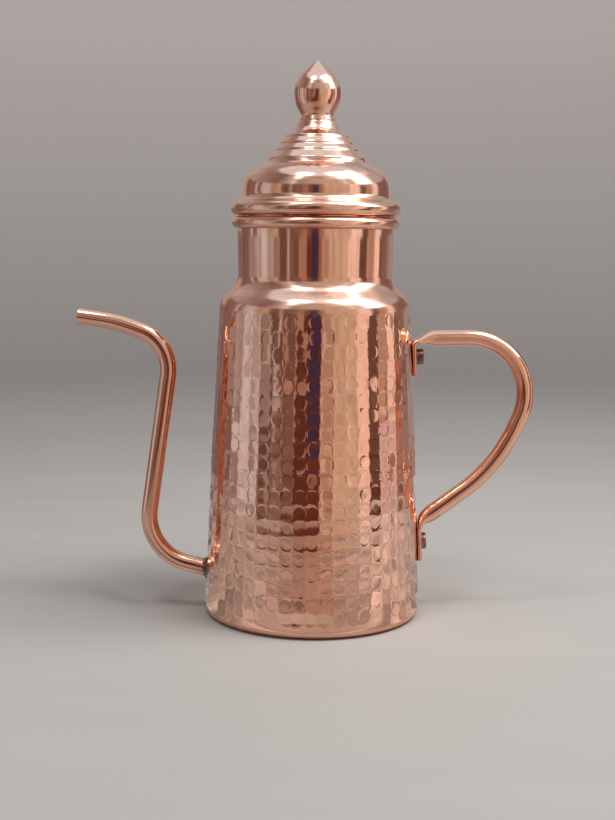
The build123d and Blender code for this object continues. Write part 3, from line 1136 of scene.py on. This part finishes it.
def makeRivet(name, height, head, seed):
    settings = rivetSettings
    gap = handleSettings["seatGap"]
    seat = handleSettings["flatThickness"] + 2 * gap
    headRadius, headHeight = head
    top = seat + headHeight
    tail = -(burrSeat(height) + settings["burrThickness"] + gap)
    shank, tailRadius, tailHeight = settings["shankRadius"], settings["tailRadius"], settings["tailHeight"]
    pen = startPoint(name, 0, top, perStep=18.0, spacing=0.6)
    goThrough(pen, [(headRadius, top, settings["headEdge"]), (headRadius, seat, 0), (shank, seat, 0)])
    goThrough(pen, [(shank, tail, 0), (tailRadius, tail, 0)])
    bend = (tailRadius**2 + tailHeight**2) / (2 * tailHeight)
    half = math.degrees(math.asin(tailRadius / bend))
    pen["heading"] = 180 + half
    goRound(pen, bend, -half)
    piece = turnOutline(pen, settings["segments"])
    dentHead(piece, seat, headRadius, random.Random(seed))
    along, outward = Vector((0, 1, 0)), Vector((1, 0, wallSlope(height))).normalized()
    place = Matrix((along, outward.cross(along), outward)).transposed().to_4x4()
    place.translation = Vector((wallRadius(height), 0, height)) * mm
    piece.matrix_world = place
    pick(piece)
    bpy.ops.object.transform_apply(location=True, rotation=True, scale=True)
    return piece


upperHeight, lowerHeight = handleSettings["rivetHeights"]
upperRivet = makeRivet("upperRivet", upperHeight, rivetSettings["upperHead"], 3)
lowerRivet = makeRivet("lowerRivet", lowerHeight, rivetSettings["lowerHead"], 4)
handOver(upperRivet, "vessel", ["handle_rivet_upper"], rivetMetal, 40.0)
handOver(lowerRivet, "vessel", ["handle_rivet_lower"], rivetMetal, 40.0)
print("rivets driven")


# Pieces whose solids are right as they are

def paint(nodes, material):
    for name in nodes:
        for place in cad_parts[name].material_slots:
            place.material = material


paint(["base_disc"], polishedCopper)
paint(["neck_rim_wire", "lid_rim_wire"], wireCopper)
paint(["rivet_burr_upper", "rivet_burr_lower"], rivetMetal)
paint(["finial_stud", "finial_washer", "finial_nut"], fastenerMetal)
print("carried-over solids painted")


# Stage

stageSettings = {
    "floorRadius": 1500.0,
    "sweepBend": 400.0,
    "wallHeight": 1500.0,
    "floor": (0.48, 0.465, 0.45, 1),
    "floorDark": (0.44, 0.425, 0.41, 1),
    # painted shade: the floor darkens with distance to this far colour
    "farFloorShade": (0.40, 0.387, 0.378, 1),
    "farShadeDistances": (0.30, 0.90),  # in metres, where the floor starts to darken to its far colour, a painted shade, and where it has
    "backdrop": (0.80, 0.755, 0.735, 1),
    "backdropHeights": (0.0, 0.50),  # in metres, the same for the backdrop's colour, which starts at the floor so that it also lightens the shaded bend as painted light
    "mottleScale": 6.0,
    "floorRoughness": 0.85,
    "worldColour": (0.62, 0.60, 0.58, 1),
    "worldStrength": 0.75,
    # name, degrees round from the camera, distance, height, size in metres, watts
    "lamps": [
        ("left lamp", -32, 440.0, 1100.0, (0.28, 0.20), 2.2),
        ("right lamp", 48, 440.0, 1100.0, (0.24, 0.18), 2.5),
        ("window lamp", 78, 560.0, 960.0, (0.50, 0.42), 5.5),
    ],
    "lampsAim": 0.15,  # height that the lamps point at, in metres
}

# Cards round the object and on the floor that only its reflections show. A row is (radius and
# height of its lower edge, the same of its upper edge, whether its colours run together, bands),
# and bands are {where one ends: colour}, from behind, round the left. Angles are degrees round
# from the camera, to the right when positive
cardSettings = {
    "ceiling": (1150.0, 640.0, "sky"),
    "patches": ((14.0, 14.0, 5.0), (0.65, 1.35)),  # scale and levels of a standing card's unevenness
    "grain": ((4.0, 64.0, 4.0), (0.0, 2.0)),  # and of a floor card's
    "colours": {
        "glare": (3.2, 4.4, 5.2),
        "bright": (1.0, 0.98, 0.97),
        "cream": (0.92, 0.84, 0.8),
        "ice": (0.56, 0.67, 0.8),
        "steel": (0.44, 0.47, 0.5),
        "fog": (0.34, 0.32, 0.33),
        "wall": (0.63, 0.58, 0.49),
        "peach": (0.56, 0.44, 0.35),
        "sand": (0.47, 0.38, 0.32),
        "lilac": (0.66, 0.6, 0.64),
        "grey": (0.36, 0.36, 0.39),
        "sky": (0.78, 1.02, 1.26),
        "soft": (0.54, 0.66, 0.76),
        "rose": (0.38, 0.26, 0.22),
        "rust": (0.34, 0.19, 0.13),
        "dusk": (0.23, 0.17, 0.165),
        "brown": (0.17, 0.11, 0.095),
        "ember": (0.125, 0.05, 0.035),
        "night": (0.06, 0.045, 0.1),
        "near": (0.5, 0.505, 0.5),
        "shade": (0.37, 0.31, 0.285),
        "lit": (0.68, 0.7, 0.71),
    },
    "rows": [
        (56, 0.8, 95, 1.5, True, {
            -93: "fog", -66: "near", 18: "near", 50: "near", 66: "lit", 88: "near", 180: "fog",
        }),
        (95, 1.5, 400, 1.5, True, {
            -93: "fog", -66: "steel", -34: "steel", 4: "shade", 18: "sand", 50: "near", 66: "lit",
            88: "lit", 180: "steel",
        }),
        (400, 1.5, 640, 1.5, False, {
            -110: "dusk", -90: "fog", -68: "ice", -57: "fog", -38: "dusk", -30: "brown", 4: "ember",
            18: "rose", 47: "wall", 57: "cream", 76: "ember", 100: "lilac", 180: "rose",
        }),
        (640, 0, 640, 60, False, {
            -106: "dusk", -95: "fog", -68: "ice", -59: "fog", -48: "brown", -41: "dusk", -38: "fog",
            -30: "dusk", -22: "brown", 4: "ember", 9: "rust", 13: "peach", 18: "sand", 46: "wall",
            58: "cream", 76: "brown", 100: "lilac", 120: "rose", 180: "fog",
        }),
        (640, 60, 640, 190, False, {
            -115: "dusk", -100: "fog", -86: "steel", -72: "ice", -62: "steel", -53: "fog", -41: "brown",
            -38: "steel", -30: "dusk", -24: "brown", -14: "rose", -6: "ember", 3: "night", 8: "rust",
            12: "peach", 17: "sand", 46: "wall", 64: "cream", 77: "brown", 92: "sand", 104: "cream",
            125: "dusk", 180: "fog",
        }),
        (640, 190, 640, 420, False, {
            -140: "sand", -109: "dusk", -103: "ice", -94: "dusk", -74: "ice", -62: "sand", -55: "wall",
            -41: "brown", -38: "ice", -31: "brown", -22: "dusk", -13: "rose", -6: "brown", 3: "night",
            10: "rose", 51: "wall", 68: "bright", 80: "brown", 94: "sand", 107: "bright", 150: "dusk",
            180: "sand",
        }),
        (640, 420, 640, 760, True, {
            -84: "steel", -46: "dusk", -41: "soft", -34: "bright", -31: "soft", -22: "grey", 38: "wall",
            42: "soft", 50: "bright", 58: "soft", 66: "wall", 78: "glare", 96: "glare", 110: "soft",
            180: "steel",
        }),
        (640, 760, 640, 1150, True, {
            -84: "grey", -46: "dusk", -42: "soft", -28: "glare", -24: "soft", 36: "grey", 40: "bright",
            52: "glare", 62: "bright", 76: "glare", 98: "glare", 104: "bright", 180: "soft",
        }),
    ],
}


def makeSweep():
    settings = stageSettings
    radius = settings["floorRadius"]
    pen = startPoint("sweep", 0, 0, perStep=10.0)
    goThrough(pen, [(radius, 0, settings["sweepBend"]), (radius, settings["wallHeight"], 0)])
    sweep = turnOutline(pen, 96)
    smooth(sweep, 60.0)
    material, tree, shader, position = startMaterial("pale floor")
    mottle = noise(tree, position, settings["mottleScale"], 4.0, 0.6)
    colour = mixColours(tree, mottle, settings["floorDark"], settings["floor"])
    # painted shade: the floor darkens towards its far colour with distance
    far = remap(tree, lengthOf(tree, position), *settings["farShadeDistances"])
    colour = mixColours(tree, far, colour, settings["farFloorShade"])
    # the backdrop's own lighter colour, rising from the floor, partly painted light that lifts the shaded bend
    # of the sweep
    rise = remap(tree, heightOf(tree, position), *settings["backdropHeights"])
    colour = mixColours(tree, rise, colour, settings["backdrop"])
    feed(tree, shader, {"Base Color": colour, "Roughness": settings["floorRoughness"]})
    sweep.data.materials.append(material)


# Glowing material with bands of colour by direction, a little uneven
def makeCardMaterial(name, runTogether, bands, scale, levels):
    material = bpy.data.materials.new(name)
    material.use_nodes = True
    material.cycles.emission_sampling = "NONE"
    tree = material.node_tree
    tree.nodes.clear()
    position = addNode(tree, "TexCoord").outputs["Object"]
    parts = addNode(tree, "SeparateXYZ", {0: position}).outputs
    turn = calculate(tree, "ARCTAN2", parts["X"], calculate(tree, "MULTIPLY", parts["Y"], -1.0))
    turn = addShare(tree, turn, 0.5 / math.pi, 0.5)
    ramp = addNode(tree, "ValToRGB", {"Fac": turn})
    stops = ramp.color_ramp
    stops.interpolation = "LINEAR" if runTogether else "CONSTANT"
    start = -180
    for number, (end, colour) in enumerate(bands.items()):
        at = ((start + end) / 2 if runTogether else start) / 360 + 0.5
        stop = stops.elements[number] if number < 2 else stops.elements.new(at)
        stop.position = at
        stop.color = (*cardSettings["colours"][colour], 1)
        start = end
    patches = addNode(tree, "Mapping", {"Vector": position, "Scale": scale}).outputs[0]
    uneven = remap(tree, noise(tree, patches, 1.0, 5.0, 0.6), 0.25, 0.75, *levels)
    glow = addNode(tree, "Emission", {"Color": ramp.outputs["Color"], "Strength": uneven}).outputs[0]
    addNode(tree, "OutputMaterial", {"Surface": glow})
    return material


# Only reflections see a card
def hangCard(card, material):
    card.data.materials.append(material)
    for ray in ("camera", "diffuse", "transmission", "volume_scatter", "shadow"):
        setattr(card, "visible_" + ray, False)


def makeCards():
    settings = cardSettings
    for lowRadius, low, highRadius, high, runTogether, bands in settings["rows"]:
        pen = startPoint("card", lowRadius, low)
        goThrough(pen, [(highRadius, high, 0)])
        card = turnOutline(pen, 180)
        unevenness = settings["grain" if highRadius > lowRadius else "patches"]
        hangCard(card, makeCardMaterial("card", runTogether, bands, *unevenness))
    height, radius, colour = settings["ceiling"]
    ceiling = addCircle("ceilingCard", radius, 64, fill_type="NGON", location=(0, 0, height * mm))
    bands = {0: colour, 180: colour}
    hangCard(ceiling, makeCardMaterial("ceiling card", True, bands, *settings["patches"]))


def setWorld():
    world = bpy.data.worlds.new("room")
    bpy.context.scene.world = world
    world.use_nodes = True
    inputs = {"Color": stageSettings["worldColour"], "Strength": stageSettings["worldStrength"]}
    feed(world.node_tree, world.node_tree.nodes["Background"], inputs)


def addLamp(name, angle, distance, height, size, power):
    data = bpy.data.lights.new(name, "AREA")
    data.shape = "RECTANGLE"
    data.size, data.size_y = size
    data.energy = power
    lamp = addToScene(name, data)
    turn = math.radians(angle)
    lamp.location = Vector((math.sin(turn) * distance, -math.cos(turn) * distance, height)) * mm
    aim = Vector((0, 0, stageSettings["lampsAim"])) - lamp.location
    lamp.rotation_euler = aim.to_track_quat("-Z", "Y").to_euler()


makeSweep()
makeCards()
setWorld()
for lamp in stageSettings["lamps"]:
    addLamp(*lamp)
print("stage set")
